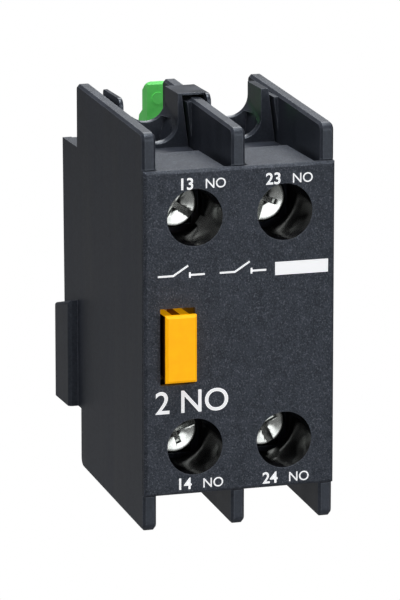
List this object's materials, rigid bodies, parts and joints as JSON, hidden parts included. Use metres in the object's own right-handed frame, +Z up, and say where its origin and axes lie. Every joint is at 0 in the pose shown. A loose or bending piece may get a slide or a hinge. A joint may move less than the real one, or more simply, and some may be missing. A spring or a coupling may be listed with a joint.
{
  "type": "auxiliary contact block",
  "caption": "Front-mounting auxiliary contact block with recessed clamp screws, barrier fins, a travel indicator and a release latch at the back.",
  "frame": {"origin": "middle of the seat plane at the back, level with the middle of the face", "axes": "+X right and +Z up as seen from the front, +Y from the face to the back, into the switch"},
  "size_m": [0.0298, 0.0428, 0.0565],
  "materials": {
    "case_face": "fine spark texture",
    "case_wall": "satin moulded",
    "base_moulding": "fine moulded",
    "orange_button": "satin",
    "green_lever": "satin",
    "zinc_steel": "bright plated",
    "contact_brass": "rolled",
    "contact_silver": "satin",
    "spring_steel": "drawn wire",
    "carriage_moulding": "moulded"
  },
  "bodies": {
    "case": {"housing": "case_wall", "front_cover": "case_face", "upper_terminal_base": "base_moulding", "lower_terminal_base": "base_moulding", "fixed_contact_13": "contact_brass", "fixed_contact_23": "contact_brass", "fixed_contact_14": "contact_brass", "fixed_contact_24": "contact_brass", "fixed_tip_13": "contact_silver", "fixed_tip_23": "contact_silver", "fixed_tip_14": "contact_silver", "fixed_tip_24": "contact_silver", "latch_pin": "zinc_steel", "return_spring": "spring_steel", "latch_spring": "spring_steel"},
    "carriage": {"carriage": "carriage_moulding", "indicator": "orange_button", "contact_spring_left": "spring_steel", "contact_spring_right": "spring_steel"},
    "bridge_left": {"contact_bridge_left": "contact_brass", "bridge_tips_left": "contact_silver"},
    "bridge_right": {"contact_bridge_right": "contact_brass", "bridge_tips_right": "contact_silver"},
    "latch": {"latch": "green_lever"},
    "screw_13": {"terminal_screw_13": "zinc_steel"},
    "clamp_13": {"clamp_cage_13": "zinc_steel"},
    "screw_23": {"terminal_screw_23": "zinc_steel"},
    "clamp_23": {"clamp_cage_23": "zinc_steel"},
    "screw_14": {"terminal_screw_14": "zinc_steel"},
    "clamp_14": {"clamp_cage_14": "zinc_steel"},
    "screw_24": {"terminal_screw_24": "zinc_steel"},
    "clamp_24": {"clamp_cage_24": "zinc_steel"}
  },
  "joints": [
    {"name": "carriage_travel", "type": "slide", "parent": "case", "child": "carriage", "axis": [0, 1, 0], "range_m": [0, 0.003], "stiffness_N_per_m": 250, "springref_m": -0.004, "deforming": ["return_spring"]},
    {"name": "bridge_left_travel", "type": "slide", "parent": "carriage", "child": "bridge_left", "axis": [0, -1, 0], "range_m": [0, 0.0008], "stiffness_N_per_m": 150, "springref_m": -0.003, "deforming": ["contact_spring_left"]},
    {"name": "bridge_right_travel", "type": "slide", "parent": "carriage", "child": "bridge_right", "axis": [0, -1, 0], "range_m": [0, 0.0008], "stiffness_N_per_m": 150, "springref_m": -0.003, "deforming": ["contact_spring_right"]},
    {"name": "latch_turn", "type": "hinge", "parent": "case", "child": "latch", "pos_m": [-0.00038, -0.0032, 0.0136], "axis": [1, 0, 0], "range_deg": [0, 12], "stiffness_Nm_per_rad": 0.02, "springref_deg": -14.32, "deforming": ["latch_spring"]},
    {"name": "screw_13_turn", "type": "hinge", "parent": "case", "child": "screw_13", "pos_m": [-0.00635, -0.0301, 0.01585], "axis": [0, 1, 0], "range_deg": [0, 2521]},
    {"name": "clamp_13_travel", "type": "slide", "parent": "case", "child": "clamp_13", "axis": [0, -1, 0], "range_m": [0, 0.0042]},
    {"name": "screw_23_turn", "type": "hinge", "parent": "case", "child": "screw_23", "pos_m": [0.00635, -0.0301, 0.01585], "axis": [0, 1, 0], "range_deg": [0, 2521]},
    {"name": "clamp_23_travel", "type": "slide", "parent": "case", "child": "clamp_23", "axis": [0, -1, 0], "range_m": [0, 0.0042]},
    {"name": "screw_14_turn", "type": "hinge", "parent": "case", "child": "screw_14", "pos_m": [-0.00635, -0.0301, -0.01585], "axis": [0, 1, 0], "range_deg": [0, 2521]},
    {"name": "clamp_14_travel", "type": "slide", "parent": "case", "child": "clamp_14", "axis": [0, -1, 0], "range_m": [0, 0.0042]},
    {"name": "screw_24_turn", "type": "hinge", "parent": "case", "child": "screw_24", "pos_m": [0.00635, -0.0301, -0.01585], "axis": [0, 1, 0], "range_deg": [0, 2521]},
    {"name": "clamp_24_travel", "type": "slide", "parent": "case", "child": "clamp_24", "axis": [0, -1, 0], "range_m": [0, 0.0042]}
  ],
  "couplings": [
    {"joint": "screw_13_turn", "follows": "clamp_13_travel", "rad_per_m": 10472},
    {"joint": "screw_23_turn", "follows": "clamp_23_travel", "rad_per_m": 10472},
    {"joint": "screw_14_turn", "follows": "clamp_14_travel", "rad_per_m": 10472},
    {"joint": "screw_24_turn", "follows": "clamp_24_travel", "rad_per_m": 10472}
  ]
}
